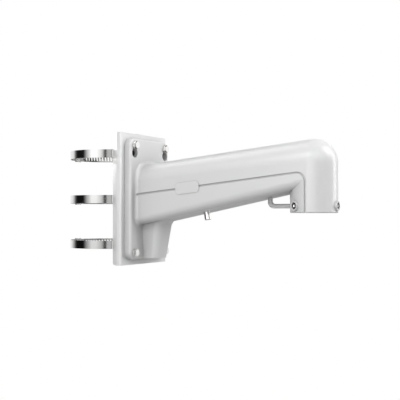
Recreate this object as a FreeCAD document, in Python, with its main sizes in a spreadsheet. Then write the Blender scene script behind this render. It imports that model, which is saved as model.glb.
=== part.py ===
"""Camera arm on a pole adapter: a hollow cast arm with a drooping collar, bolted to a
folded steel plate that three worm-drive bands strap to a round pole.

Millimetres.  The origin is on the pole's axis, level with the middle band.
+Z is up along the pole and +X points from the pole along the arm to the camera collar.
"""
import FreeCAD, Part
import math
import os
import Sketcher
from FreeCAD import Placement, Rotation, Vector

doc = FreeCAD.newDocument("camera_pole_mount_bracket")
sheet = doc.addObject("Spreadsheet::Sheet", "sizes")

DRIVING_SIZES = {
    # Pole and its contact with the adapter.
    "pole_diameter": 114.3,
    "pole_play": 0.1,
    "flange_end_play": 0.3,
    # Folded adapter plate.
    "plate_width": 127.0,
    "plate_height": 200.0,
    "plate_sheet": 3.0,
    "lip_depth": 8.0,
    "bend_outer_radius": 2.5,
    "bend_inner_radius": 0.8,
    "flange_corner": 3.0,
    "cable_hole_diameter": 58.0,
    "cable_hole_level": 6.0,
    "plate_bolt_hole": 6.6,
    # Worm-drive bands.
    "band_width": 12.7,
    "band_thickness": 0.8,
    "band_spacing": 70.0,
    "band_rim": 2.2,
    "band_slot_play": 0.35,
    "band_straight": 5.0,
    "band_tail_start": 164.0,
    "band_tail_end": 206.0,
    # Worm housings and worm screws.
    "housing_length": 12.0,
    "housing_offset": 1.0,
    "housing_wall": 1.1,
    "housing_play": 0.1,
    "worm_diameter": 6.4,
    "worm_play": 0.25,
    "worm_shank": 16.0,
    "worm_head_flats": 6.4,
    "worm_head_length": 5.0,
    "worm_slot_width": 1.2,
    "worm_slot_depth": 2.0,
    # Base of the arm casting.
    "base_width": 107.0,
    "base_height": 183.0,
    "base_thickness": 11.0,
    "base_corner": 12.0,
    "base_edge": 3.5,
    "base_rim": 5.5,
    "base_recess": 5.5,
    "bolt_across": 85.0,
    "bolt_up": 162.0,
    "bolt_hole": 9.0,
    "bolt_boss": 19.0,
    "keyhole_slot": 9.6,
    "keyhole_rise": 1.8,
    "keyhole_lobe": 14.6,
    "keyhole_drop": 11.6,
    # Arm and elbow.
    "arm_reach": 281.5,
    "collar_radius": 33.2,
    "elbow_level": 48.3,
    "root_half_width": 40.0,
    "root_top": 53.2,
    "root_bottom": -41.0,
    "root_top_corner": 25.0,
    "root_crown": 85.0,
    "root_bottom_corner": 11.0,
    "elbow_depth": 34.0,
    "elbow_bottom_corner": 12.0,
    "arm_wall": 4.5,
    "arm_flare": 5.0,
    "arm_inset": 2.0,
    # How far a cut runs past the face it starts from.
    "cut_past": 1.0,
    # Collar and its thread.
    "collar_bottom": -21.5,
    "collar_edge": 1.8,
    "thread_minor_diameter": 44.85,
    "thread_length": 20.0,
    "collar_duct_radius": 27.0,
    "collar_web_radius": 4.0,
    "collar_web_reach": 15.2,
    "setscrew_level": -11.8,
    "setscrew_diameter": 8.0,
    "setscrew_play": 0.1,
    "setscrew_length": 9.0,
    "setscrew_socket_flats": 4.0,
    "setscrew_socket_depth": 3.0,
    "setscrew_sunk": 1.6,
    "setscrew_boss": 13.6,
    "setscrew_boss_stand": 2.2,
    "setscrew_counterbore": 9.6,
    "setscrew_counterbore_depth": 4.0,
    # Gusset under the arm.
    "gusset_foot_width": 36.6,
    "gusset_root_width": 48.6,
    "gusset_foot_gap": 1.0,
    "gusset_sunk": 0.4,
    "gusset_level": -5.0,
    "gusset_foot": 33.0,
    "gusset_waist": 38.5,
    "gusset_waist_level": -56.0,
    "gusset_throat": 14.0,
    "gusset_nose": 10.0,
    "gusset_wall": 4.5,
    # Safety loop.
    "loop_bar": 6.5,
    "loop_top_level": -8.5,
    "loop_length": 36.3,
    "loop_outer_corner": 9.0,
    "loop_inner_corner": 4.0,
    "loop_edge": 2.2,
    "loop_sunk": 2.0,
    # Styling groove and bare badge.
    "groove_width": 3.2,
    "groove_depth": 1.8,
    "groove_below_top": 47.8,
    "groove_corner": 12.0,
    "badge_center": 99.5,
    "badge_length": 39.0,
    "badge_height": 16.5,
    "badge_corner": 6.0,
    "badge_stand": 0.9,
    # Base bolts, washers and nuts.
    "bolt_diameter": 6.0,
    "bolt_flats": 10.0,
    "bolt_head": 4.0,
    "bolt_end_stand": 2.0,
    "hexagon_bevel": 30.0,
    "washer_outer": 12.0,
    "washer_bore": 6.4,
    "washer_thickness": 1.2,
    "spring_outer": 10.6,
    "spring_thickness": 1.5,
    "spring_gap": 1.2,
    "nut_thickness": 5.0,
    # Screw under the arm.
    "underscrew_place": 111.5,
    "underscrew_head": 10.0,
    "underscrew_washer": 11.0,
    "underscrew_head_length": 9.5,
    "underscrew_socket_flats": 5.0,
    "underscrew_socket_depth": 3.0,
    "underscrew_shank": 9.0,
    "underscrew_hole": 6.4,
    "underscrew_edge": 0.8,
}


def fill_sheet():
    """Write every driving size into the spreadsheet, one named cell each."""
    for row, (alias, value) in enumerate(DRIVING_SIZES.items(), start=1):
        sheet.set(f"A{row}", alias)
        sheet.set(f"B{row}", str(value))
        sheet.setAlias(f"B{row}", alias)
    doc.recompute()


def size(alias):
    """Read one driving size back from the sheet."""
    return float(sheet.get(alias))


fill_sheet()

# Each flange of the adapter leans this far, in degrees, so that its fold is as far from
# the pole's axis as from the middle plane.
FLANGE_ANGLE = 45
FULL_TURN = 360

# Places that follow from the driving sizes.
POLE_RADIUS = size("pole_diameter") / 2
PLATE_FACE = size("lip_depth") + size("plate_width") / 2
PLATE_FACE_CELLS = "(sizes.lip_depth + sizes.plate_width / 2)"
BASE_FRONT = PLATE_FACE + size("base_thickness")
COLLAR_X = PLATE_FACE + size("arm_reach")
COLLAR_X_CELLS = f"({PLATE_FACE_CELLS} + sizes.arm_reach)"
BAND_LEVELS = {
    "top": size("band_spacing"),
    "middle": 0.0,
    "bottom": -size("band_spacing"),
}
BOLT_PLACES = {
    "upper_left": (-size("bolt_across") / 2, size("bolt_up") / 2),
    "upper_right": (size("bolt_across") / 2, size("bolt_up") / 2),
    "lower_left": (-size("bolt_across") / 2, -size("bolt_up") / 2),
    "lower_right": (size("bolt_across") / 2, -size("bolt_up") / 2),
}

subparts = []


def new_body(label):
    """Start a sub-part; its label is also its file's name."""
    body = doc.addObject("PartDesign::Body", label)
    body.Label = label
    subparts.append(body)
    return body


def new_sketch(body, name, role, offset=None):
    """A sketch on one of the body's own origin planes, moved along its normal."""
    sketch = body.newObject("Sketcher::SketchObject", f"{body.Name}_{name}")
    plane = next(f for f in body.Origin.OriginFeatures if f.Role == role)
    sketch.AttachmentSupport = [(plane, "")]
    sketch.MapMode = "FlatFace"
    if offset is not None:
        sketch.setExpression("AttachmentOffset.Base.z", offset)
    return sketch


def draw_loop(sketch, pieces):
    """Add a closed chain of lines and arcs and tie each end to the next start."""
    first = len(sketch.Geometry)
    sketch.addGeometry(pieces, False)
    ids = list(range(first, first + len(pieces)))
    for here, after in zip(ids, ids[1:] + ids[:1]):
        for end, start in ((2, 1), (1, 1), (2, 2), (1, 2)):
            gap = sketch.getPoint(here, end).distanceToPoint(sketch.getPoint(after, start))
            if gap < 1e-6:
                sketch.addConstraint(Sketcher.Constraint("Coincident", here, end, after, start))
                break


def draw_circle(sketch, x, y, diameter_cells):
    """A circle whose diameter is bound to the sheet; x and y are in the sketch."""
    index = sketch.addGeometry(Part.Circle(Vector(x, y, 0), Vector(0, 0, 1), 5.0), False)
    sketch.addConstraint(Sketcher.Constraint("Block", index))
    row = sketch.addConstraint(Sketcher.Constraint("Diameter", index, 10.0))
    sketch.setExpression(f"Constraints[{row}]", diameter_cells)


def polar(radius, degrees, center=(0.0, 0.0)):
    """The (x, y) point at a distance and direction from a center."""
    angle = math.radians(degrees)
    return (center[0] + radius * math.cos(angle), center[1] + radius * math.sin(angle))


def line(start, end):
    """A straight sketch piece between two (x, y) points."""
    return Part.LineSegment(Vector(*start, 0), Vector(*end, 0))


def arc(center, radius, from_degrees, to_degrees):
    """A circular sketch piece from one direction to another."""
    turns = (from_degrees, (from_degrees + to_degrees) / 2, to_degrees)
    return Part.Arc(*[Vector(*polar(radius, turn, center), 0) for turn in turns])


def outline(corners):
    """Lines and tangent arcs round a list of (x, y, corner radius)."""
    pieces = []
    count = len(corners)
    ends = []
    for index, (x, y, radius) in enumerate(corners):
        here = Vector(x, y, 0)
        before = (Vector(*corners[index - 1][:2], 0) - here).normalize()
        after = (Vector(*corners[(index + 1) % count][:2], 0) - here).normalize()
        if radius == 0:
            ends.append((here, None, here))
            continue
        half = before.getAngle(after) / 2
        toward = (before + after).normalize()
        center = here + toward * (radius / math.sin(half))
        reach = radius / math.tan(half)
        ends.append((here + before * reach, center - toward * radius, here + after * reach))
    for index, (start, middle, end) in enumerate(ends):
        if middle is not None:
            pieces.append(Part.Arc(start, middle, end))
        pieces.append(Part.LineSegment(end, ends[(index + 1) % count][0]))
    return pieces


def rectangle(half_x, low_y, high_y, radius=0.0):
    """A rectangle about x = 0, with round corners where a radius is given."""
    return outline([
        (-half_x, low_y, radius),
        (half_x, low_y, radius),
        (half_x, high_y, radius),
        (-half_x, high_y, radius),
    ])


def hexagon(across_flats, first_corner=0):
    """A regular hexagon, its first corner at a direction in degrees from the x axis."""
    corner = across_flats / math.sqrt(3)
    turns = range(first_corner, FULL_TURN + first_corner, FULL_TURN // 6)
    return outline([(*polar(corner, turn), 0) for turn in turns])


def pad(body, sketch, length, midplane=False, backwards=False):
    """Grow material from a sketch."""
    feature = body.newObject("PartDesign::Pad", f"{sketch.Name}_pad")
    feature.Profile = sketch
    feature.setExpression("Length", length)
    feature.Midplane = midplane
    feature.Reversed = backwards
    doc.recompute()
    return feature


def pocket(body, sketch, length, midplane=False, backwards=False):
    """Cut material away below a sketch and make sure that something was cut."""
    before = body.Shape.Volume
    feature = body.newObject("PartDesign::Pocket", f"{sketch.Name}_pocket")
    feature.Profile = sketch
    feature.setExpression("Length", length)
    feature.Midplane = midplane
    feature.Reversed = backwards
    doc.recompute()
    if body.Shape.Volume > before - 1e-3:
        raise RuntimeError(f"{feature.Name} cut nothing")
    return feature


def dress_edges(body, kind, name, amount, wanted):
    """Fillet or chamfer the edges of the body whose middle point passes a test."""
    doc.recompute()
    base = body.Tip
    names = []
    for number, edge in enumerate(base.Shape.Edges, start=1):
        middle = edge.valueAt((edge.FirstParameter + edge.LastParameter) / 2)
        if wanted(middle):
            names.append(f"Edge{number}")
    if not names:
        raise RuntimeError(f"{name} found no edge")
    feature = body.newObject(f"PartDesign::{kind}", f"{body.Name}_{name}")
    feature.Base = (base, names)
    feature.setExpression("Radius" if kind == "Fillet" else "Size", amount)
    doc.recompute()
    return feature


def fuse(body, helper):
    """Join a form that was built on its own to a sub-part."""
    joined = body.newObject("PartDesign::Boolean", f"{body.Name}_{helper.Name}")
    joined.Type = "Fuse"
    joined.setObjects([helper])
    doc.recompute()


def bevel_hexagon(body, name, across_flats, level, downward=True):
    """Turn the corners off a hexagon at one face, as on a real head or nut."""
    flat = across_flats / 2
    past = across_flats
    drop = (past - flat) * math.tan(math.radians(size("hexagon_bevel")))
    corner = new_sketch(body, name, "XZ_Plane")
    draw_loop(corner, outline([
        (flat, level, 0),
        (past, level, 0),
        (past, level - drop if downward else level + drop, 0),
    ]))
    turned = body.newObject("PartDesign::Groove", f"{corner.Name}_groove")
    turned.Profile = corner
    turned.ReferenceAxis = (corner, ["V_Axis"])
    turned.Angle = FULL_TURN
    doc.recompute()


def close_to(value, target, slack=0.05):
    """True where two lengths agree."""
    return abs(value - target) < slack


def build_adapter_plate():
    """One folded sheet: a flat front, two short lips and two flanges that lean in.

    Each flange lies on a plane through the pole's axis and bears on the pole with its
    end, so the pair holds the pole like a V block.
    """
    body = new_body("adapter_plate")
    half = size("plate_width") / 2
    steel = size("plate_sheet")
    back = PLATE_FACE - size("lip_depth")
    leg_end = POLE_RADIUS + size("flange_end_play")
    end = polar(leg_end, FLANGE_ANGLE)
    inner_end = (end[0] + steel * math.sqrt(0.5), end[1] - steel * math.sqrt(0.5))
    inner_back = back + steel * (math.sqrt(2) - 1)
    upper_half = [
        (PLATE_FACE, half),
        (back, half),
        end,
        inner_end,
        (inner_back, half - steel),
        (PLATE_FACE - steel, half - steel),
    ]
    lower_half = [(x, -y) for x, y in reversed(upper_half)]
    section = new_sketch(body, "section", "XY_Plane")
    draw_loop(section, outline([(x, y, 0) for x, y in upper_half + lower_half]))
    pad(body, section, "sizes.plate_height", midplane=True)
    outer_bends = ((PLATE_FACE, half), (back, half))
    inner_bends = ((PLATE_FACE - steel, half - steel), (inner_back, half - steel))
    for name, bends, radius in (
            ("outer_bends", outer_bends, "sizes.bend_outer_radius"),
            ("inner_bends", inner_bends, "sizes.bend_inner_radius")):
        dress_edges(
            body, "Fillet", name, radius,
            lambda middle, bends=bends: any(
                close_to(middle.x, x) and close_to(abs(middle.y), y) for x, y in bends))
    corner_x = (end[0] + inner_end[0]) / 2
    dress_edges(
        body, "Chamfer", "flange_corners", "sizes.flange_corner",
        lambda middle: close_to(middle.x, corner_x)
        and close_to(abs(middle.z), size("plate_height") / 2))
    for side in (-1, 1):
        slots = new_sketch(body, f"band_slots_{'right' if side > 0 else 'left'}", "XZ_Plane")
        slots.AttachmentOffset = Placement(Vector(), Rotation(Vector(0, 1, 0), FLANGE_ANGLE * side))
        near = leg_end + size("band_rim")
        far = near + size("band_thickness") + 2 * size("band_slot_play")
        tall = size("band_width") / 2 + size("band_slot_play")
        for level in BAND_LEVELS.values():
            draw_loop(slots, outline([
                (near, level - tall, 0),
                (far, level - tall, 0),
                (far, level + tall, 0),
                (near, level + tall, 0),
            ]))
        pocket(body, slots, "4 * sizes.plate_sheet", midplane=True)
    holes = new_sketch(body, "holes", "YZ_Plane", PLATE_FACE_CELLS)
    for across, up in BOLT_PLACES.values():
        draw_circle(holes, across, up, "sizes.plate_bolt_hole")
    draw_circle(holes, 0.0, size("cable_hole_level"), "sizes.cable_hole_diameter")
    pocket(body, holes, "1.5 * sizes.plate_sheet")


def band_outline(pole_side, slot_side):
    """One face of a closed band, from its radius on the pole and at the two slots.

    Between the pole and each slot the band runs straight, tangent to the pole, and it
    crosses the slot square to the flange.
    """
    inner = POLE_RADIUS + size("pole_play")
    through = inner_slot_radius()
    half = size("band_straight") / 2
    turn = math.atan2(half, through) + math.acos(inner / math.hypot(through, half))
    reach = (pole_side - slot_side * math.cos(turn)) / math.sin(turn)
    swing = math.degrees(math.atan2(reach, slot_side))
    corner = math.hypot(slot_side, reach)
    lean = math.degrees(turn)
    pieces = []
    for flange, next_flange in (
            (-FLANGE_ANGLE, FLANGE_ANGLE), (FLANGE_ANGLE, FULL_TURN - FLANGE_ANGLE)):
        start = polar(pole_side, flange - lean)
        enter = polar(corner, flange - swing)
        leave = polar(corner, flange + swing)
        end = polar(pole_side, flange + lean)
        pieces += [line(start, enter), line(enter, leave), line(leave, end)]
        pieces.append(arc((0, 0), pole_side, flange + lean, next_flange - lean))
    return pieces


def inner_slot_radius():
    """How far from the pole's axis a band's inner face lies inside the slots."""
    leg_end = POLE_RADIUS + size("flange_end_play")
    return leg_end + size("band_rim") + size("band_slot_play")


def build_clamp_band(where, level):
    """A closed steel band; its free end passes under the worm housing and laps over it."""
    body = new_body(f"clamp_band_{where}")
    inner = POLE_RADIUS + size("pole_play")
    thick = size("band_thickness")
    ring = new_sketch(body, "ring", "XY_Plane", str(level))
    draw_loop(ring, band_outline(inner, inner_slot_radius()))
    draw_loop(ring, band_outline(inner + thick, inner_slot_radius() + thick))
    pad(body, ring, "sizes.band_width", midplane=True)
    tail = new_sketch(body, "tail", "XY_Plane", str(level))
    first, last = size("band_tail_start"), size("band_tail_end")
    low, high = inner + thick / 2, inner + 2 * thick
    draw_loop(tail, [
        arc((0, 0), high, first, last),
        line(polar(high, last), polar(low, last)),
        arc((0, 0), low, last, first),
        line(polar(low, first), polar(high, first)),
    ])
    pad(body, tail, "sizes.band_width", midplane=True)


def worm_axis_radius():
    """How far a worm screw's axis lies from the pole's axis."""
    return lapped_band_radius() + size("worm_diameter") / 2


def lapped_band_radius():
    """The radius just outside the two lapped layers of a band."""
    inner = POLE_RADIUS + size("pole_play")
    return inner + 2 * size("band_thickness") + size("housing_play")


def build_clamp_housing(where, level):
    """The pressed saddle behind the pole that the worm screw turns in."""
    body = new_body(f"clamp_housing_{where}")
    wall = size("housing_wall")
    half = size("band_width") / 2 + size("housing_play") + wall
    foot = POLE_RADIUS + size("pole_play")
    shoulder = lapped_band_radius() + wall
    axis = worm_axis_radius()
    dome = size("worm_diameter") / 2 + size("worm_play") + wall
    section = new_sketch(body, "section", "XZ_Plane", "-sizes.housing_offset")
    draw_loop(section, [
        line((-foot, level - half), (-foot, level + half)),
        line((-foot, level + half), (-shoulder, level + half)),
        line((-shoulder, level + half), (-axis, level + dome)),
        arc((-axis, level), dome, 90, 270),
        line((-axis, level - dome), (-shoulder, level - half)),
        line((-shoulder, level - half), (-foot, level - half)),
    ])
    pad(body, section, "sizes.housing_length", midplane=True)
    lap = new_sketch(body, "lap", "XY_Plane", str(level))
    circle = lap.addGeometry(Part.Circle(Vector(), Vector(0, 0, 1), lapped_band_radius()), False)
    lap.addConstraint(Sketcher.Constraint("Block", circle))
    pocket(body, lap, "sizes.band_width + 2 * sizes.housing_play", midplane=True)
    bore = new_sketch(body, "bore", "XZ_Plane", "-sizes.housing_offset")
    draw_circle(bore, -axis, level, "sizes.worm_diameter + 2 * sizes.worm_play")
    pocket(body, bore, "2 * sizes.housing_length", midplane=True)


def build_worm_screw(where, level):
    """The hexagon-head screw that draws a band tight, its head towards -Y."""
    body = new_body(f"worm_screw_{where}")
    shank = new_sketch(body, "shank", "XY_Plane")
    draw_circle(shank, 0.0, 0.0, "sizes.worm_diameter")
    pad(body, shank, "sizes.worm_shank", backwards=True)
    head = new_sketch(body, "head", "XY_Plane")
    draw_loop(head, hexagon(size("worm_head_flats"), FULL_TURN // 12))
    pad(body, head, "sizes.worm_head_length")
    bevel_hexagon(body, "head_bevel", size("worm_head_flats"), size("worm_head_length"))
    slot = new_sketch(body, "slot", "XY_Plane", "sizes.worm_head_length")
    half = size("worm_slot_width") / 2
    draw_loop(slot, rectangle(size("worm_head_flats"), -half, half))
    pocket(body, slot, "sizes.worm_slot_depth")
    seat = size("housing_offset") - size("housing_length") / 2 - size("housing_play")
    body.Placement = Placement(
        Vector(-worm_axis_radius(), seat, level), Rotation(Vector(1, 0, 0), 90))


def arm_slope():
    """Rise of the arm's top line, as an angle in radians."""
    rise = size("elbow_level") + size("collar_radius") - size("root_top")
    return math.atan2(rise, size("arm_reach") - size("base_thickness"))


def root_section(wall):
    """The arm's section at its root: round upper corners under a crowned top."""
    half = size("root_half_width") - wall
    top = size("root_top") - wall
    bottom = size("root_bottom") + wall
    upper = size("root_top_corner") - wall
    crown = size("root_crown") - wall
    lower = size("root_bottom_corner") - wall
    spread = half - upper
    drop = math.sqrt((crown - upper) ** 2 - spread ** 2)
    crown_center = top - crown
    upper_center = crown_center + drop
    lean = math.degrees(math.atan2(drop, spread))
    return [
        line((lower - half, bottom), (half - lower, bottom)),
        arc((half - lower, bottom + lower), lower, -90, 0),
        line((half, bottom + lower), (half, upper_center)),
        arc((spread, upper_center), upper, 0, lean),
        arc((0, crown_center), crown, lean, 180 - lean),
        arc((-spread, upper_center), upper, 180 - lean, 180),
        line((-half, upper_center), (-half, bottom + lower)),
        arc((lower - half, bottom + lower), lower, 180, 270),
    ]


def elbow_section(wall):
    """The arm's section at the elbow: a half circle above straight sides."""
    radius = size("collar_radius") - wall
    bottom = wall - size("elbow_depth")
    lower = size("elbow_bottom_corner") - wall
    lean = math.degrees(math.atan2(
        size("root_crown") - size("root_top_corner"),
        size("root_half_width") - size("root_top_corner")))
    return [
        line((lower - radius, bottom), (radius - lower, bottom)),
        arc((radius - lower, bottom + lower), lower, -90, 0),
        line((radius, bottom + lower), (radius, 0)),
        arc((0, 0), radius, 0, lean),
        arc((0, 0), radius, lean, 180 - lean),
        arc((0, 0), radius, 180 - lean, 180),
        line((-radius, 0), (-radius, bottom + lower)),
        arc((lower - radius, bottom + lower), lower, 180, 270),
    ]


def loft_arm(body, kind, name, wall):
    """The arm's tapering form, or the space inside it."""
    root = new_sketch(body, f"{name}_root", "YZ_Plane", f"{PLATE_FACE_CELLS} + sizes.arm_inset")
    draw_loop(root, root_section(wall))
    elbow = new_sketch(body, f"{name}_elbow", "YZ_Plane", COLLAR_X_CELLS)
    elbow.AttachmentOffset = Placement(
        Vector(0, size("elbow_level"), COLLAR_X),
        Rotation(Vector(1, 0, 0), -math.degrees(arm_slope())))
    draw_loop(elbow, elbow_section(wall))
    loft = body.newObject(f"PartDesign::{kind}Loft", f"{body.Name}_{name}_loft")
    loft.Profile = root
    loft.Sections = [elbow]
    loft.Ruled = True
    doc.recompute()


def underside_slope():
    """Rise of the arm's underside, as an angle in radians."""
    slope = arm_slope()
    end_x = size("arm_reach") + size("elbow_depth") * math.sin(slope)
    end_z = size("elbow_level") - size("elbow_depth") * math.cos(slope)
    return math.atan2(end_z - size("root_bottom"), end_x - size("arm_inset"))


def underside_level(x):
    """Height of the arm's underside at a distance from the adapter's face."""
    return size("root_bottom") + (x - size("arm_inset")) * math.tan(underside_slope())


def side_plane(side, stand):
    """Placement, on the XZ plane, of a sketch that lies along one tapering arm side."""
    root_x = PLATE_FACE + size("arm_inset")
    narrowing = size("root_half_width") - size("collar_radius")
    taper = math.degrees(math.atan2(narrowing, COLLAR_X - root_x))
    return Placement(
        Vector(root_x, 0, -side * (size("root_half_width") + stand)),
        Rotation(Vector(0, 1, 0), -side * taper))


def add_base(body):
    """The flat base with round corners and softened front edges."""
    half = size("base_height") / 2
    base = new_sketch(body, "base", "YZ_Plane", PLATE_FACE_CELLS)
    draw_loop(base, rectangle(size("base_width") / 2, -half, half, size("base_corner")))
    pad(body, base, "sizes.base_thickness")
    dress_edges(
        body, "Fillet", "base_edge", "sizes.base_edge",
        lambda middle: close_to(middle.x, BASE_FRONT))


def gusset_outline(wall):
    """Side view of the gusset, or of the space inside it."""
    foot_level = -size("base_height") / 2 + size("gusset_foot_gap") + wall
    foot = PLATE_FACE + size("gusset_foot") - wall
    waist = PLATE_FACE + size("gusset_waist") - wall
    waist_level = size("gusset_waist_level")
    lean = (waist - foot) / (waist_level - foot_level)
    sunk = size("gusset_sunk") + wall
    rise = underside_level(waist - PLATE_FACE) + sunk - waist_level
    throat = rise / (1 - lean * math.tan(underside_slope()))
    throat_x = waist + lean * throat
    far_x = throat_x + 2 * size("gusset_throat")
    back = PLATE_FACE + (size("arm_inset") if wall == 0 else -size("cut_past"))
    return [
        (back, foot_level, 0),
        (foot, foot_level, 0),
        (throat_x, waist_level + throat, size("gusset_throat") + wall),
        (far_x, underside_level(far_x - PLATE_FACE) + sunk, 0),
        (far_x, size("gusset_level"), 0),
        (back, size("gusset_level"), 0),
    ]


def add_gusset(body):
    """The keel that carries the arm down to the foot of the base: a round nose between
    two flat sides that draw in towards the foot."""
    keel = doc.addObject("PartDesign::Body", "gusset")
    profile = new_sketch(keel, "profile", "XZ_Plane")
    draw_loop(profile, outline(gusset_outline(0.0)))
    pad(keel, profile, "2 * sizes.gusset_root_width", midplane=True)
    taper = new_sketch(keel, "taper", "YZ_Plane", PLATE_FACE_CELLS)
    foot, root = size("gusset_foot_width") / 2, size("gusset_root_width") / 2
    low, high = -size("base_height") / 2, size("gusset_level")
    for side in (-1, 1):
        draw_loop(taper, outline([
            (side * foot, low, 0),
            (side * 4 * root, low, 0),
            (side * 4 * root, high, 0),
            (side * root, high, 0),
        ]))
    pocket(keel, taper, "sizes.arm_reach", midplane=True)
    dress_edges(
        keel, "Fillet", "nose", "sizes.gusset_nose",
        lambda middle: foot < abs(middle.y) < root
        and middle.z < size("gusset_waist_level") / 2
        and PLATE_FACE + size("gusset_foot") < middle.x < PLATE_FACE + 2 * size("gusset_waist"))
    fuse(body, keel)


def add_arm(body):
    """The tapering arm, its round elbow and the collar that points down."""
    loft_arm(body, "Additive", "arm", 0.0)
    trim = new_sketch(body, "trim", "XZ_Plane")
    past = COLLAR_X + size("elbow_depth")
    low = size("elbow_level") - 2 * size("elbow_depth")
    draw_loop(trim, outline([
        (COLLAR_X, low, 0),
        (past, low, 0),
        (past, size("elbow_level"), 0),
        (COLLAR_X, size("elbow_level"), 0),
    ]))
    pocket(body, trim, "4 * sizes.root_half_width", midplane=True)
    elbow = body.newObject("PartDesign::AdditiveSphere", f"{body.Name}_elbow_dome")
    elbow.setExpression("Radius", "sizes.collar_radius")
    elbow.setExpression("Placement.Base.x", COLLAR_X_CELLS)
    elbow.setExpression("Placement.Base.z", "sizes.elbow_level")
    doc.recompute()
    collar = new_sketch(body, "collar", "XY_Plane", "sizes.collar_bottom")
    draw_circle(collar, COLLAR_X, 0.0, "2 * sizes.collar_radius")
    pad(body, collar, "sizes.elbow_level - sizes.collar_bottom")


def add_collar_web(body):
    """A small round web in the corner between the arm's underside and the collar.

    It is turned about an upright axis inside the collar, so it thins out to each side.
    """
    radius = size("collar_web_radius")
    reach = size("collar_web_reach")
    corner_x = COLLAR_X - size("collar_radius")
    level = underside_level(corner_x - PLATE_FACE) - radius
    web = new_sketch(body, "collar_web", "XZ_Plane")
    web.AttachmentOffset = Placement(Vector(corner_x + reach, level, 0), Rotation())
    tip = -reach - radius
    draw_loop(web, [
        line((0, 0), (-reach, 0)),
        arc((tip, 0), radius, 0, 90),
        line((tip, radius), (tip, 2 * radius)),
        line((tip, 2 * radius), (0, 2 * radius)),
        line((0, 2 * radius), (0, 0)),
    ])
    turned = body.newObject("PartDesign::Revolution", f"{web.Name}_turned")
    turned.Profile = web
    turned.ReferenceAxis = (web, ["V_Axis"])
    turned.Angle = FULL_TURN
    doc.recompute()


def soften_arm(body):
    """The flare where the arm leaves its base, and the round rim under the collar."""
    dress_edges(
        body, "Fillet", "flare", "sizes.arm_flare",
        lambda middle: close_to(middle.x, BASE_FRONT)
        and abs(middle.y) < size("root_half_width")
        and size("root_bottom") < middle.z < size("root_top") + size("arm_flare"))
    dress_edges(
        body, "Fillet", "collar_edge", "sizes.collar_edge",
        lambda middle: close_to(middle.z, size("collar_bottom")) and middle.x > BASE_FRONT)


def hollow_arm(body):
    """The cable duct: from the back of the base, along the arm, down to the thread."""
    loft_arm(body, "Subtractive", "duct", size("arm_wall"))
    mouth = new_sketch(body, "duct_mouth", "YZ_Plane", f"{PLATE_FACE_CELLS} + sizes.arm_inset")
    draw_loop(mouth, root_section(size("arm_wall")))
    pocket(body, mouth, "sizes.arm_inset")
    dome = body.newObject("PartDesign::SubtractiveSphere", f"{body.Name}_duct_dome")
    dome.setExpression("Radius", "sizes.collar_radius - sizes.arm_wall")
    dome.setExpression("Placement.Base.x", COLLAR_X_CELLS)
    dome.setExpression("Placement.Base.z", "sizes.elbow_level")
    doc.recompute()
    drop = new_sketch(body, "duct_drop", "XY_Plane", "sizes.elbow_level")
    draw_circle(drop, COLLAR_X, 0.0, "2 * sizes.collar_duct_radius")
    pocket(body, drop, "sizes.elbow_level - sizes.collar_bottom - sizes.thread_length")
    thread = new_sketch(body, "thread", "XY_Plane", "sizes.collar_bottom")
    draw_circle(thread, COLLAR_X, 0.0, "sizes.thread_minor_diameter")
    pocket(body, thread, "sizes.thread_length + sizes.cut_past", backwards=True)
    cavity = new_sketch(body, "gusset_cavity", "XZ_Plane")
    draw_loop(cavity, outline(gusset_outline(size("gusset_wall"))))
    pocket(body, cavity, "sizes.gusset_foot_width - 2 * sizes.gusset_wall", midplane=True)


def recess_base(body):
    """The space behind the base, and the bosses round the bolts."""
    half_width = size("base_width") / 2 - size("base_rim")
    half_height = size("base_height") / 2 - size("base_rim")
    recess = new_sketch(body, "recess", "YZ_Plane", PLATE_FACE_CELLS)
    corner = size("base_corner") - size("base_rim")
    draw_loop(recess, rectangle(half_width, -half_height, half_height, corner))
    pocket(body, recess, "sizes.base_recess", backwards=True)
    bosses = new_sketch(body, "bosses", "YZ_Plane", PLATE_FACE_CELLS)
    for across, up in BOLT_PLACES.values():
        draw_circle(bosses, across, up, "sizes.bolt_boss")
    pad(body, bosses, "sizes.base_recess + sizes.cut_past")


def drill_base(body):
    """Two keyholes above and two round holes below, for the bolts."""
    holes = new_sketch(body, "lower_holes", "YZ_Plane", f"{PLATE_FACE_CELLS} + sizes.base_thickness")
    keyholes = new_sketch(body, "keyholes", "YZ_Plane", f"{PLATE_FACE_CELLS} + sizes.base_thickness")
    slot = size("keyhole_slot") / 2
    lobe = size("keyhole_lobe") / 2
    meet = math.degrees(math.acos(slot / lobe))
    for across, up in BOLT_PLACES.values():
        if up < 0:
            draw_circle(holes, across, up, "sizes.bolt_hole")
            continue
        top = (across, up + size("keyhole_rise"))
        bottom = (across, up - size("keyhole_drop"))
        right = polar(lobe, meet, bottom)
        left = polar(lobe, 180 - meet, bottom)
        draw_loop(keyholes, [
            line(right, (across + slot, top[1])),
            arc(top, slot, 0, 180),
            line((across - slot, top[1]), left),
            arc(bottom, lobe, 180 - meet, 360 + meet),
        ])
    pocket(body, holes, "sizes.base_thickness + sizes.cut_past")
    pocket(body, keyholes, "sizes.base_thickness + sizes.cut_past")


def groove_level(along):
    """Height of the groove's middle at a distance along the arm from its root."""
    return size("root_top") - size("groove_below_top") + along * math.tan(arm_slope())


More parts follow.
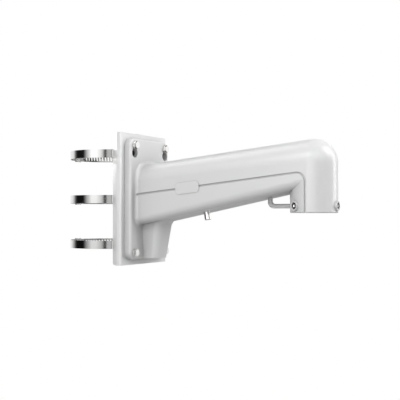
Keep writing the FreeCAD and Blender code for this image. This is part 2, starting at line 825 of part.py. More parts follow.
def cut_groove(body):
    """The styling groove on both sides, turning down beside the collar."""
    half = size("groove_width") / 2
    start = -size("arm_inset")
    turn = COLLAR_X - PLATE_FACE - size("arm_inset")
    foot = size("collar_bottom") - size("cut_past")
    corner = size("groove_corner")
    for side in (-1, 1):
        name = "groove_left" if side < 0 else "groove_right"
        groove = new_sketch(body, name, "XZ_Plane")
        groove.AttachmentOffset = side_plane(side, size("cut_past"))
        draw_loop(groove, outline([
            (start, groove_level(start) + half, 0),
            (turn + half, groove_level(turn) + half, corner + half),
            (turn + half, foot, 0),
            (turn - half, foot, 0),
            (turn - half, groove_level(turn) - half, corner - half),
            (start, groove_level(start) - half, 0),
        ]))
        depth = "sizes.groove_depth + sizes.cut_past"
        pocket(body, groove, depth, backwards=side > 0)


def add_badge(body):
    """The bare badge that interrupts the groove on the side towards -Y."""
    badge = new_sketch(body, "badge", "XZ_Plane")
    badge.AttachmentOffset = side_plane(-1, -size("groove_depth") - size("cut_past"))
    along = size("badge_center") - size("arm_inset")
    level = groove_level(along)
    slope = math.degrees(arm_slope())
    half_length = size("badge_length") / 2
    half_height = size("badge_height") / 2
    reach = math.hypot(half_length, half_height)
    swing = math.degrees(math.atan2(half_height, half_length))
    corners = [polar(reach, slope + turn, (along, level))
               for turn in (180 + swing, -swing, swing, 180 - swing)]
    draw_loop(badge, outline([(x, z, size("badge_corner")) for x, z in corners]))
    pad(body, badge, "sizes.groove_depth + sizes.cut_past + sizes.badge_stand")


SETSCREW_TURNS = {"front": 0, "left": -120, "right": 120}


def setscrew_plane(turn, radius):
    """Placement, on the YZ plane, of a sketch square to one set screw's axis."""
    angle = math.radians(turn)
    return Placement(
        Vector(radius * math.sin(angle), size("setscrew_level"),
               COLLAR_X + radius * math.cos(angle)),
        Rotation(Vector(0, 1, 0), turn))


def add_setscrew_bosses(body):
    """Three round bosses low on the collar, each bored for a set screw."""
    face = size("collar_radius") + size("setscrew_boss_stand")
    wall = face - size("thread_minor_diameter") / 2
    for name, turn in SETSCREW_TURNS.items():
        boss = new_sketch(body, f"boss_{name}", "YZ_Plane")
        boss.AttachmentOffset = setscrew_plane(turn, face)
        draw_circle(boss, 0.0, 0.0, "sizes.setscrew_boss")
        root = "sizes.setscrew_boss_stand + sizes.setscrew_counterbore_depth"
        pad(body, boss, root, backwards=True)
        mouth = new_sketch(body, f"boss_mouth_{name}", "YZ_Plane")
        mouth.AttachmentOffset = setscrew_plane(turn, face)
        draw_circle(mouth, 0.0, 0.0, "sizes.setscrew_counterbore")
        pocket(body, mouth, "sizes.setscrew_counterbore_depth")
        bore = new_sketch(body, f"boss_bore_{name}", "YZ_Plane")
        bore.AttachmentOffset = setscrew_plane(turn, face)
        draw_circle(bore, 0.0, 0.0, "sizes.setscrew_diameter + 2 * sizes.setscrew_play")
        pocket(body, bore, f"{wall} + sizes.cut_past")


def add_safety_loop(body):
    """The cast eye between the arm's underside and the collar, for a safety rope."""
    eye = doc.addObject("PartDesign::Body", "safety_eye")
    bar = size("loop_bar")
    wall = COLLAR_X - size("collar_radius")
    start = wall - size("loop_length")
    end = wall + size("loop_sunk")
    top = size("loop_top_level")
    root = underside_level(start - PLATE_FACE) + size("arm_wall") / 2
    loop = new_sketch(eye, "loop", "XZ_Plane")
    draw_loop(loop, outline([
        (start, root, 0),
        (start, top - bar, size("loop_outer_corner")),
        (end, top - bar, 0),
        (end, top, 0),
        (start + bar, top, size("loop_inner_corner")),
        (start + bar, root, 0),
    ]))
    pad(eye, loop, "sizes.loop_bar", midplane=True)
    dress_edges(
        eye, "Fillet", "edge", "sizes.loop_edge",
        lambda middle: close_to(abs(middle.y), bar / 2)
        and not close_to(middle.z, root) and not close_to(middle.x, end))
    fuse(body, eye)


def underscrew_place(stand):
    """A point on the axis of the screw under the arm, at a distance off the skin."""
    slope = underside_slope()
    along = size("underscrew_place")
    return Vector(
        PLATE_FACE + along + stand * math.sin(slope), 0,
        underside_level(along) - stand * math.cos(slope))


def drill_underside(body):
    """The hole for the screw under the arm."""
    hole = new_sketch(body, "underscrew_hole", "XY_Plane")
    place = underscrew_place(size("cut_past"))
    hole.AttachmentOffset = Placement(
        place, Rotation(Vector(0, 1, 0), -math.degrees(underside_slope())))
    draw_circle(hole, 0.0, 0.0, "sizes.underscrew_hole")
    pocket(body, hole, "sizes.arm_wall + 3 * sizes.cut_past", backwards=True)


def build_arm_casting():
    """The arm, its base, elbow, collar and safety loop, cast in one piece."""
    body = new_body("arm_casting")
    add_base(body)
    add_arm(body)
    add_collar_web(body)
    soften_arm(body)
    add_gusset(body)
    hollow_arm(body)
    recess_base(body)
    cut_groove(body)
    add_badge(body)
    add_setscrew_bosses(body)
    add_safety_loop(body)
    drill_base(body)
    drill_underside(body)


BOLT_LENGTH_CELLS = (
    "sizes.washer_thickness + sizes.base_thickness + sizes.plate_sheet"
    " + sizes.spring_thickness + sizes.nut_thickness + sizes.bolt_end_stand")


def build_hex_bolt(label, across, up):
    """One hexagon-head bolt through the base and the adapter."""
    body = new_body(label)
    head = new_sketch(body, "head", "XY_Plane")
    draw_loop(head, hexagon(size("bolt_flats")))
    pad(body, head, "sizes.bolt_head")
    bevel_hexagon(body, "head_bevel", size("bolt_flats"), size("bolt_head"))
    shank = new_sketch(body, "shank", "XY_Plane")
    draw_circle(shank, 0.0, 0.0, "sizes.bolt_diameter")
    pad(body, shank, BOLT_LENGTH_CELLS, backwards=True)
    body.Placement = Placement(
        Vector(BASE_FRONT + size("washer_thickness"), across, up),
        Rotation(Vector(0, 1, 0), 90))


def build_washer(label, outer, bore, thickness, placement, gap=None):
    """A flat or split washer, its near face at the placement."""
    body = new_body(label)
    ring = new_sketch(body, "ring", "XY_Plane")
    draw_circle(ring, 0.0, 0.0, outer)
    draw_circle(ring, 0.0, 0.0, bore)
    pad(body, ring, thickness)
    if gap:
        split = new_sketch(body, "split", "XY_Plane", thickness)
        half = size(gap) / 2
        past = size("washer_outer")
        draw_loop(split, outline([
            (0, -half, 0), (past, -half, 0), (past, half, 0), (0, half, 0)]))
        pocket(body, split, f"2 * {thickness}")
    body.Placement = placement


def build_nut(label, placement):
    """A plain hexagon nut."""
    body = new_body(label)
    ring = new_sketch(body, "ring", "XY_Plane")
    draw_loop(ring, hexagon(size("bolt_flats")))
    draw_circle(ring, 0.0, 0.0, "sizes.washer_bore")
    pad(body, ring, "sizes.nut_thickness")
    bevel_hexagon(body, "outer_bevel", size("bolt_flats"), 0.0, downward=False)
    bevel_hexagon(body, "inner_bevel", size("bolt_flats"), size("nut_thickness"))
    body.Placement = placement


def build_base_fasteners():
    """Bolts and flat washers in front, split washers and nuts behind the adapter."""
    forward = Rotation(Vector(0, 1, 0), 90)
    behind = PLATE_FACE - size("plate_sheet") - size("spring_thickness")
    for where, (across, up) in BOLT_PLACES.items():
        build_hex_bolt(f"base_bolt_{where}", across, up)
        build_washer(
            f"flat_washer_{where}", "sizes.washer_outer", "sizes.washer_bore",
            "sizes.washer_thickness", Placement(Vector(BASE_FRONT, across, up), forward))
        build_washer(
            f"spring_washer_{where}", "sizes.spring_outer", "sizes.washer_bore",
            "sizes.spring_thickness", Placement(Vector(behind, across, up), forward),
            gap="spring_gap")
        build_nut(
            f"base_nut_{where}",
            Placement(Vector(behind - size("nut_thickness"), across, up), forward))


def build_setscrew(where, turn):
    """A socket set screw that locks the camera's thread."""
    body = new_body(f"collar_setscrew_{where}")
    rod = new_sketch(body, "rod", "XY_Plane")
    draw_circle(rod, 0.0, 0.0, "sizes.setscrew_diameter")
    pad(body, rod, "sizes.setscrew_length", backwards=True)
    socket = new_sketch(body, "socket", "XY_Plane")
    draw_loop(socket, hexagon(size("setscrew_socket_flats")))
    pocket(body, socket, "sizes.setscrew_socket_depth")
    angle = math.radians(turn)
    face = size("collar_radius") + size("setscrew_boss_stand") - size("setscrew_sunk")
    tilt = Rotation(Vector(0, 0, 1), turn).multiply(Rotation(Vector(0, 1, 0), 90))
    body.Placement = Placement(
        Vector(COLLAR_X + face * math.cos(angle), face * math.sin(angle),
               size("setscrew_level")), tilt)


def build_underside_screw():
    """The cap screw under the arm, with its split washer and flat washer."""
    down = Rotation(Vector(0, 1, 0), 180 - math.degrees(underside_slope()))
    flat = size("washer_thickness")
    split = size("spring_thickness")
    build_washer(
        "underside_flat_washer", "sizes.underscrew_washer", "sizes.washer_bore",
        "sizes.washer_thickness", Placement(underscrew_place(0.0), down))
    build_washer(
        "underside_spring_washer", "sizes.underscrew_head", "sizes.washer_bore",
        "sizes.spring_thickness", Placement(underscrew_place(flat), down), gap="spring_gap")
    body = new_body("underside_screw")
    head = new_sketch(body, "head", "XY_Plane")
    draw_circle(head, 0.0, 0.0, "sizes.underscrew_head")
    pad(body, head, "sizes.underscrew_head_length")
    dress_edges(
        body, "Chamfer", "head_edge", "sizes.underscrew_edge",
        lambda middle: close_to(middle.z, size("underscrew_head_length")))
    shank = new_sketch(body, "shank", "XY_Plane")
    draw_circle(shank, 0.0, 0.0, "sizes.bolt_diameter")
    pad(body, shank, "sizes.underscrew_shank", backwards=True)
    socket = new_sketch(body, "socket", "XY_Plane", "sizes.underscrew_head_length")
    draw_loop(socket, hexagon(size("underscrew_socket_flats")))
    pocket(body, socket, "sizes.underscrew_socket_depth")
    body.Placement = Placement(underscrew_place(flat + split), down)


def check_document():
    """Stop if any object failed or any sub-part has no sound solid."""
    doc.recompute()
    for item in doc.Objects:
        if "Invalid" in item.State or "Error" in item.State:
            raise RuntimeError(f"{item.Name} failed: {item.State}")
    for body in subparts:
        shape = body.Shape
        if shape.isNull() or not shape.isValid() or not shape.Solids:
            raise RuntimeError(f"{body.Label} has no sound solid")


build_adapter_plate()
for where, level in BAND_LEVELS.items():
    build_clamp_band(where, level)
    build_clamp_housing(where, level)
    build_worm_screw(where, level)
build_arm_casting()
build_base_fasteners()
for where, turn in SETSCREW_TURNS.items():
    build_setscrew(where, turn)
build_underside_screw()
check_document()

os.makedirs("parts", exist_ok=True)
for body in subparts:
    body.Shape.exportStep(f"parts/{body.Label}.step")
    print(body.Label, len(body.Shape.Solids), round(body.Shape.Volume, 1))
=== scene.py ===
"""Camera pole mount bracket: finishes, fine pieces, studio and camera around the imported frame.

Metres, in the frame's own axes: +Z up the pole, +X along the arm to the camera collar.
"""
import math

import bpy
from mathutils import Matrix, Vector


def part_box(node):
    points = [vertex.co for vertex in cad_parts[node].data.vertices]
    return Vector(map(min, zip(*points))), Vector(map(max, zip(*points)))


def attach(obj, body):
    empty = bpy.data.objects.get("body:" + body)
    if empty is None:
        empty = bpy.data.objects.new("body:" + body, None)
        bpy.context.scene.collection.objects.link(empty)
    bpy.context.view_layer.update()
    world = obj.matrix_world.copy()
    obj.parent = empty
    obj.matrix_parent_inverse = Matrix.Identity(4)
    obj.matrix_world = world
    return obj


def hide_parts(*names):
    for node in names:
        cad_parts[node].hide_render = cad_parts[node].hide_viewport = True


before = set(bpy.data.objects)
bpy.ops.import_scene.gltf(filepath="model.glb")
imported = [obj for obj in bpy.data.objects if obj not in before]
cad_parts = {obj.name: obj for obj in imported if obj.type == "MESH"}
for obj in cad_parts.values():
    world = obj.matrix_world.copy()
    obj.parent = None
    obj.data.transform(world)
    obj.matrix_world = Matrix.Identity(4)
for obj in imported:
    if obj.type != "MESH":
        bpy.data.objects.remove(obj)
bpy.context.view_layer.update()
scene = bpy.context.scene
MM = 0.001
LEVELS = ("top", "middle", "bottom")
CORNERS = ("upper_left", "upper_right", "lower_left", "lower_right")
TURNS = ("front", "left", "right")
EDGE_ANGLE = math.radians(35)
EDGE_SEGMENTS = 2


def new_material(name):
    """A node material with its Principled shader and its tree."""
    material = bpy.data.materials.new(name)
    material.use_nodes = True
    tree = material.node_tree
    return material, tree, tree.nodes["Principled BSDF"]


def noise(tree, scale, detail=2.0, stretch=(1.0, 1.0, 1.0)):
    """Noise over the object's own space, in cycles per metre, stretched along an axis."""
    place = tree.nodes.new("ShaderNodeTexCoord")
    mapping = tree.nodes.new("ShaderNodeMapping")
    mapping.inputs["Scale"].default_value = stretch
    texture = tree.nodes.new("ShaderNodeTexNoise")
    texture.inputs["Scale"].default_value = scale
    texture.inputs["Detail"].default_value = detail
    tree.links.new(place.outputs["Object"], mapping.inputs["Vector"])
    tree.links.new(mapping.outputs["Vector"], texture.inputs["Vector"])
    return texture.outputs["Fac"]


def ramp(tree, source, low, high, start=0.35, end=0.65):
    """Spread a noise over two colours or two grey values."""
    node = tree.nodes.new("ShaderNodeValToRGB")
    node.color_ramp.elements[0].position = start
    node.color_ramp.elements[1].position = end
    node.color_ramp.elements[0].color = (*low, 1.0)
    node.color_ramp.elements[1].color = (*high, 1.0)
    tree.links.new(source, node.inputs["Fac"])
    return node.outputs["Color"]


def bump(tree, shader, height, distance, strength):
    """Raise the surface by a height map; distance is in metres."""
    node = tree.nodes.new("ShaderNodeBump")
    node.inputs["Strength"].default_value = strength
    node.inputs["Distance"].default_value = distance
    tree.links.new(height, node.inputs["Height"])
    tree.links.new(node.outputs["Normal"], shader.inputs["Normal"])


def grey(value):
    """A neutral colour."""
    return (value, value, value)


# Powder coat: how its tone drifts, how far and how deep the painted shade in its corners goes,
# its gloss and its orange peel.
COAT_DRIFT_SCALE = 18.0
COAT_DRIFT_DETAIL = 3.0
COAT_DRIFT_DARKEST = 0.985
PAINTED_SHADE_REACH = 45.0 * MM
PAINTED_SHADE_POWER = 0.6
PAINTED_SHADE_SAMPLES = 8
COAT_GLOSS_SCALE = 60.0
COAT_ROUGHNESS = (0.33, 0.37)
COAT_SHEEN = 0.85
PEEL_SCALE = 2200.0
PEEL_DETAIL = 1.0
PEEL_DEPTH = 0.01 * MM
PEEL_STRENGTH = 0.30


def painted_corner_shade(tree, colour, deepest_painted_shade):
    """Painted shade: the colour toned down where the surface around closes in on it, to a limit.
    """
    nearness = tree.nodes.new("ShaderNodeAmbientOcclusion")
    nearness.samples = PAINTED_SHADE_SAMPLES
    nearness.inputs["Distance"].default_value = PAINTED_SHADE_REACH
    limit = tree.nodes.new("ShaderNodeMath")
    limit.operation = "MAXIMUM"
    limit.inputs[1].default_value = deepest_painted_shade
    tree.links.new(nearness.outputs["AO"], limit.inputs[0])
    shade = tree.nodes.new("ShaderNodeMath")
    shade.operation = "POWER"
    shade.inputs[1].default_value = PAINTED_SHADE_POWER
    tree.links.new(limit.outputs["Value"], shade.inputs[0])
    both = tree.nodes.new("ShaderNodeVectorMath")
    both.operation = "SCALE"
    tree.links.new(colour, both.inputs[0])
    tree.links.new(shade.outputs["Value"], both.inputs["Scale"])
    return both.outputs["Vector"]


def powder_coat(name, tone, deepest_painted_shade):
    """Satin white powder coat: a fine orange peel, a faint drift in tone and gloss, and painted
    shade in its corners and recesses.
    """
    material, tree, shader = new_material(name)
    patches = noise(tree, COAT_DRIFT_SCALE, COAT_DRIFT_DETAIL)
    drift = ramp(tree, patches, [part * COAT_DRIFT_DARKEST for part in tone], tone)
    # Painted shade: the base colour is darkened in corners, creases and recesses.
    tree.links.new(painted_corner_shade(tree, drift, deepest_painted_shade), shader.inputs["Base Color"])
    smooth, rough = COAT_ROUGHNESS
    gloss = ramp(tree, noise(tree, COAT_GLOSS_SCALE), grey(smooth), grey(rough))
    tree.links.new(gloss, shader.inputs["Roughness"])
    shader.inputs["Specular IOR Level"].default_value = COAT_SHEEN
    bump(tree, shader, noise(tree, PEEL_SCALE, PEEL_DETAIL), PEEL_DEPTH, PEEL_STRENGTH)
    return material


# Steel: how much its grain darkens it, makes it duller or brighter, and stands out.
GRAIN_DETAIL = 3.0
GRAIN_DARKEST = 0.90
GRAIN_SMOOTH = 0.8
GRAIN_ROUGH = 1.3
GRAIN_DEPTH = 0.012 * MM
GRAIN_STRENGTH = 0.3


def steel(name, tone, rough, grain, stretch):
    """Bright stainless steel with a rolled or turned grain along one direction."""
    material, tree, shader = new_material(name)
    shader.inputs["Metallic"].default_value = 1.0
    streaks = noise(tree, grain, GRAIN_DETAIL, stretch)
    shades = ramp(tree, streaks, [part * GRAIN_DARKEST for part in tone], tone)
    tree.links.new(shades, shader.inputs["Base Color"])
    gloss = ramp(tree, streaks, grey(rough * GRAIN_SMOOTH), grey(rough * GRAIN_ROUGH))
    tree.links.new(gloss, shader.inputs["Roughness"])
    bump(tree, shader, streaks, GRAIN_DEPTH, GRAIN_STRENGTH)
    return material


# The last value is how far the painted shade in corners may darken each coat.
PAINT = powder_coat("arm_powder_coat", tone=(0.725, 0.728, 0.725), deepest_painted_shade=0.5)
PLATE_PAINT = powder_coat("plate_powder_coat", tone=(0.850, 0.853, 0.850), deepest_painted_shade=0.02)
STRIP = steel(
    "rolled_strip", tone=(0.80, 0.80, 0.79), rough=0.09, grain=700.0, stretch=(1.0, 1.0, 14.0))
HOUSING = steel(
    "pressed_housing", tone=(0.74, 0.74, 0.73), rough=0.20, grain=900.0, stretch=(1.0, 6.0, 1.0))
BOLT_STEEL = steel(
    "polished_bolt", tone=(0.95, 0.95, 0.94), rough=0.10, grain=1400.0, stretch=(6.0, 1.0, 1.0))
FASTENER = steel(
    "stainless_fastener", tone=(0.76, 0.75, 0.73), rough=0.22, grain=1400.0,
    stretch=(6.0, 1.0, 1.0))


def dress(node, material):
    """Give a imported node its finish."""
    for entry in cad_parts[node].material_slots:
        entry.material = material


dress("arm_casting", PAINT)
dress("adapter_plate", PLATE_PAINT)
for level in LEVELS:
    dress(f"clamp_housing_{level}", HOUSING)
    dress(f"worm_screw_{level}", FASTENER)
for corner in CORNERS:
    dress(f"base_bolt_{corner}", BOLT_STEEL)
    for piece in ("flat_washer", "spring_washer", "base_nut"):
        dress(f"{piece}_{corner}", FASTENER)
for piece in ("underside_screw", "underside_flat_washer", "underside_spring_washer"):
    dress(piece, FASTENER)


def new_object(name, vertices, faces, material):
    """A mesh object from its points and faces."""
    mesh = bpy.data.meshes.new(name)
    mesh.from_pydata(vertices, [], faces)
    mesh.update()
    mesh.materials.append(material)
    piece = bpy.data.objects.new(name, mesh)
    scene.collection.objects.link(piece)
    return piece


def soften(piece, width):
    """Round a piece's hard edges a little and shade the rest smooth."""
    piece.data.shade_smooth()
    piece.data.set_sharp_from_angle(angle=EDGE_ANGLE)
    bevel = piece.modifiers.new("edges", "BEVEL")
    bevel.width = width
    bevel.segments = EDGE_SEGMENTS
    bevel.limit_method = "ANGLE"
    bevel.angle_limit = EDGE_ANGLE
    bevel.harden_normals = True


# Worm-drive bands.  Each is one strip that laps over itself behind the pole.  A tangent to
# the pole would lean this much at its flange, and the strip starts its bow a little before.
BAND_LOW, BAND_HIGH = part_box("clamp_band_middle")
BAND_SHEET = -BAND_LOW.x - BAND_HIGH.x
BAND_INNER = BAND_HIGH.x - BAND_SHEET
BAND_HALF = BAND_HIGH.z
BAND_AT_FLANGE = 60.0 * MM
BAND_STRAIGHT = 5.0 * MM
FLANGE = math.radians(45)
LEAN = (math.atan2(BAND_STRAIGHT / 2, BAND_AT_FLANGE)
        + math.acos(BAND_INNER / math.hypot(BAND_AT_FLANGE, BAND_STRAIGHT / 2)))
BOW = LEAN + math.radians(5)
LAP_START = math.radians(164)
LAP_RAMP = math.radians(4)
LAP_PLAY = 0.02 * MM
FREE_END = math.radians(206)
END_CORNER = 4.0 * MM
SLOT_PITCH = math.radians(4.68)
SLOT_COUNT = 29
FIRST_SLOT = math.radians(65.7)
SLOT_LENGTH = 8.6 * MM
SLOT_WIDTH = 1.8 * MM
SLOT_LEAD = math.tan(math.radians(5))
SLOT_STRAIGHT = (SLOT_LENGTH - SLOT_WIDTH) / 2
SIDE_HEIGHTS = [SLOT_STRAIGHT * step / 2 for step in range(-2, 3)]
END_TURNS = [math.radians(turn) for turn in range(30, 180, 30)]
OUTLINE_POINTS = 2 * (len(SIDE_HEIGHTS) + len(END_TURNS))
PLAIN_STEPS = 150
TAIL_STEPS = 10
BAND_EDGE = 0.12 * MM


def eased(share):
    """A share from 0 to 1 that starts and ends without a kink."""
    return share * share * (3 - 2 * share)


def band_lift(azimuth):
    """How far the strip stands off the pole's side of itself: one sheet where it laps."""
    share = min(1.0, max(0.0, (azimuth - LAP_START + LAP_RAMP) / LAP_RAMP))
    return (BAND_SHEET + LAP_PLAY) * eased(share)


def band_radius(azimuth, stand):
    """Distance from the pole's axis, at a stand off the band's inner face.

    The strip lies on the pole, bows off it to each flange and crosses its slot square.
    """
    pole_side = BAND_INNER + stand
    slot_side = BAND_AT_FLANGE + stand
    reach = (pole_side - slot_side * math.cos(LEAN)) / math.sin(LEAN)
    off_flange = abs(abs(math.remainder(azimuth, math.tau)) - FLANGE)
    swing = math.atan2(reach, slot_side)
    if off_flange < swing:
        return slot_side / math.cos(off_flange)
    share = max(0.0, (BOW - off_flange) / (BOW - swing))
    return pole_side + (slot_side / math.cos(swing) - pole_side) * share * share


class Strip:
    """A thin sheet bent round the pole, drawn on the flat as azimuth and height."""

    AZIMUTH_DIGITS = 6
    HEIGHT_DIGITS = 7

    def __init__(self):
        self.vertices = []
        self.faces = []
        self.known = {}

    def point(self, place, outside):
        """The number of the point at an (azimuth, height), on the outer or inner face."""
        azimuth, height = place
        key = (round(azimuth, self.AZIMUTH_DIGITS), round(height, self.HEIGHT_DIGITS), outside)
        if key not in self.known:
            radius = band_radius(azimuth, band_lift(azimuth) + BAND_SHEET * outside)
            self.known[key] = len(self.vertices)
            self.vertices.append((radius * math.cos(azimuth), radius * math.sin(azimuth), height))
        return self.known[key]

    def patch(self, corners):
        """Both faces of a patch, its corners anticlockwise as seen from outside."""
        self.faces.append([self.point(place, 1) for place in corners])
        self.faces.append([self.point(place, 0) for place in reversed(corners)])

    def edge(self, start, end):
        """The cut edge along a patch's side, which runs from start to end."""
        self.faces.append([
            self.point(end, 1), self.point(start, 1), self.point(start, 0), self.point(end, 0)])


def slot_outline(middle):
    """The points round a slot, anticlockwise from its lower right."""
    half_width = SLOT_WIDTH / 2
    flat = [(half_width, up) for up in SIDE_HEIGHTS]
    flat += [
        (half_width * math.cos(turn), SLOT_STRAIGHT + half_width * math.sin(turn))
        for turn in END_TURNS]
    flat += [(-across, -up) for across, up in flat]
    return [(middle + (across + up * SLOT_LEAD) / BAND_INNER, up) for across, up in flat]


def cell_outline(start, end):
    """The points round a slot's share of the strip, matched to those of the slot."""
    right = [(end, up) for up in SIDE_HEIGHTS]
    steps = len(END_TURNS) - 1
    right += [(end + (start - end) * step / steps, BAND_HALF) for step in range(steps + 1)]
    return right + [(start + end - azimuth, -up) for azimuth, up in right]


def build_plain_strip(strip, start, end, steps, corner):
    """A run of strip without slots; a corner rounds its last end."""
    shares = [-1.0] + [up / BAND_HALF for up in SIDE_HEIGHTS] + [1.0]
    columns = []
    for step in range(steps + 1):
        azimuth = start + (end - start) * step / steps
        left = (end - azimuth) * BAND_INNER
        half = BAND_HALF
        if left < corner:
            half -= corner - math.sqrt(corner * corner - (corner - left) ** 2)
        columns.append([(azimuth, half * share) for share in shares])
    for near, far in zip(columns, columns[1:]):
        for k in range(len(shares) - 1):
            strip.patch([near[k], far[k], far[k + 1], near[k + 1]])
        strip.edge(near[0], far[0])
        strip.edge(far[-1], near[-1])
    if corner:
        for low, high in zip(columns[-1], columns[-1][1:]):
            strip.edge(low, high)
    else:
        for low, high in zip(columns[0], columns[0][1:]):
            strip.edge(high, low)


def build_band(level):
    """One perforated strip, from its fixed end under the lap round to its free end."""
    strip = Strip()
    slots_end = FIRST_SLOT + SLOT_COUNT * SLOT_PITCH
    for number in range(SLOT_COUNT):
        start = FIRST_SLOT + number * SLOT_PITCH
        outer = cell_outline(start, start + SLOT_PITCH)
        inner = slot_outline(start + SLOT_PITCH / 2)
        for k, (place, hole) in enumerate(zip(outer, inner)):
            following = (k + 1) % OUTLINE_POINTS
            next_place, next_hole = outer[following], inner[following]
            strip.patch([hole, place, next_place, next_hole])
            strip.edge(next_hole, hole)
            if abs(place[1]) == BAND_HALF and abs(next_place[1]) == BAND_HALF:
                strip.edge(place, next_place)
    build_plain_strip(strip, LAP_START - math.tau, FIRST_SLOT, PLAIN_STEPS, 0.0)
    build_plain_strip(strip, slots_end, FREE_END, TAIL_STEPS, END_CORNER)
    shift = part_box(f"clamp_band_{level}")[1].z - BAND_HALF
    vertices = [(x, y, z + shift) for x, y, z in strip.vertices]
    band = new_object(f"perforated_band_{level}", vertices, strip.faces, STRIP)
    soften(band, BAND_EDGE)
    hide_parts(f"clamp_band_{level}")
    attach(band, "root")


# Set screws in the collar: a nearly black rim, black oxide that also stands in as painted shade
# of the counterbore round it, round a hexagon socket kept bright as a painted highlight.
COLLAR_X = 353.0 * MM
BOSS_FACE = 35.4 * MM
SETSCREW_RADIUS = 4.0 * MM
SETSCREW_BEVEL = 0.3 * MM
SETSCREW_SUNK = 0.5 * MM
SETSCREW_LENGTH = 10.1 * MM
SETSCREW_EDGE = 0.08 * MM
SOCKET_FLATS = 4.0 * MM
SOCKET_DEPTH = 1.4 * MM
RIM_POINTS = 48
RIM_TONE_SCALE = 900.0
RIM_TONE = (0.006, 0.012)
OXIDE_GLOSS_SCALE = 2400.0
OXIDE_ROUGHNESS = (0.38, 0.48)
OXIDE_SHEEN = 0.1


def oxide_and_painted_shade():
    """Black oxide on steel, made nearly black to serve also as painted shade, with a satin sheen.
    """
    material, tree, shader = new_material("oxide_and_painted_shade")
    shader.inputs["Specular IOR Level"].default_value = OXIDE_SHEEN
    low, high = RIM_TONE
    tone = ramp(tree, noise(tree, RIM_TONE_SCALE), grey(low), grey(high))
    tree.links.new(tone, shader.inputs["Base Color"])
    smooth, rough = OXIDE_ROUGHNESS
    gloss = ramp(tree, noise(tree, OXIDE_GLOSS_SCALE), grey(smooth), grey(rough))
    tree.links.new(gloss, shader.inputs["Roughness"])
    return material


# The rim's near black is partly oxide and partly painted shade; the socket's bright steel is a
# painted highlight.
RIM_FINISH = oxide_and_painted_shade()
PAINTED_HIGHLIGHT_SOCKET = steel(
    "painted_highlight_socket", tone=(0.90, 0.90, 0.89), rough=0.45, grain=1400.0, stretch=(1.0, 1.0, 6.0))


def hexagon_reach(angle):
    """How far a socket's wall lies from its axis in one direction."""
    off_flat = math.remainder(angle, math.tau / 6)
    return SOCKET_FLATS / 2 / math.cos(off_flat)


def build_setscrew(turn):
    """One set screw from its inner end out, round its rim and down into its socket."""
    low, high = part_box(f"collar_setscrew_{turn}")
    middle = (low + high) / 2
    outward = Vector((middle.x - COLLAR_X, middle.y, 0.0)).normalized()
    rim = Vector((COLLAR_X, 0.0, middle.z)) + (BOSS_FACE - SETSCREW_SUNK) * outward
    up = Vector((0.0, 0.0, 1.0))
    sideways = up.cross(outward)
    angles = [math.tau * k / RIM_POINTS for k in range(RIM_POINTS)]
    rings = [
        [(SETSCREW_RADIUS, -SETSCREW_LENGTH)] * RIM_POINTS,
        [(SETSCREW_RADIUS, -SETSCREW_BEVEL)] * RIM_POINTS,
        [(SETSCREW_RADIUS - SETSCREW_BEVEL, 0.0)] * RIM_POINTS,
        [(hexagon_reach(angle), 0.0) for angle in angles],
        [(hexagon_reach(angle), -SOCKET_DEPTH) for angle in angles],
    ]
    vertices = [
        rim + reach * (math.cos(angle) * sideways + math.sin(angle) * up) + depth * outward
        for ring in rings for angle, (reach, depth) in zip(angles, ring)]
    faces = [list(reversed(range(RIM_POINTS)))]
    for ring in range(len(rings) - 1):
        for k in range(RIM_POINTS):
            following = (k + 1) % RIM_POINTS
            faces.append([
                ring * RIM_POINTS + k, ring * RIM_POINTS + following,
                (ring + 1) * RIM_POINTS + following, (ring + 1) * RIM_POINTS + k])
    faces.append([(len(rings) - 1) * RIM_POINTS + k for k in range(RIM_POINTS)])
    screw = new_object(f"setscrew_{turn}", vertices, faces, RIM_FINISH)
    screw.data.materials.append(PAINTED_HIGHLIGHT_SOCKET)
    # The socket's walls and floor take the bright finish: a painted highlight where the hollow
    # would lie in shade.
    socket_walls_and_floor = screw.data.polygons[-RIM_POINTS - 1:]
    for polygon in socket_walls_and_floor:
        polygon.material_index = 1
    soften(screw, SETSCREW_EDGE)
    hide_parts(f"collar_setscrew_{turn}")
    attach(screw, "root")


# Threads: one helical ridge each, on a bore's or a bolt's wall.  A ridge's crest and root are
# shares of its pitch, and it rises to its full height over a part of its first and last turn.
THREAD_STEPS = 60
COLLAR_THREAD = {"pitch": 2.309 * MM, "stand": 0.35 * MM, "sunk": 0.1 * MM}
BOLT_THREAD = {"pitch": 1.0 * MM, "stand": 0.1 * MM, "sunk": 0.1 * MM}
CREST_SHARE = 0.2
ROOT_SHARE = 0.9
RUN_IN_STEPS = THREAD_STEPS / 4
COLLAR_BORE_RADIUS = 44.85 * MM / 2
COLLAR_MOUTH = -21.5 * MM
COLLAR_THREAD_LENGTH = 19.0 * MM
BOLT_RADIUS = 3.0 * MM


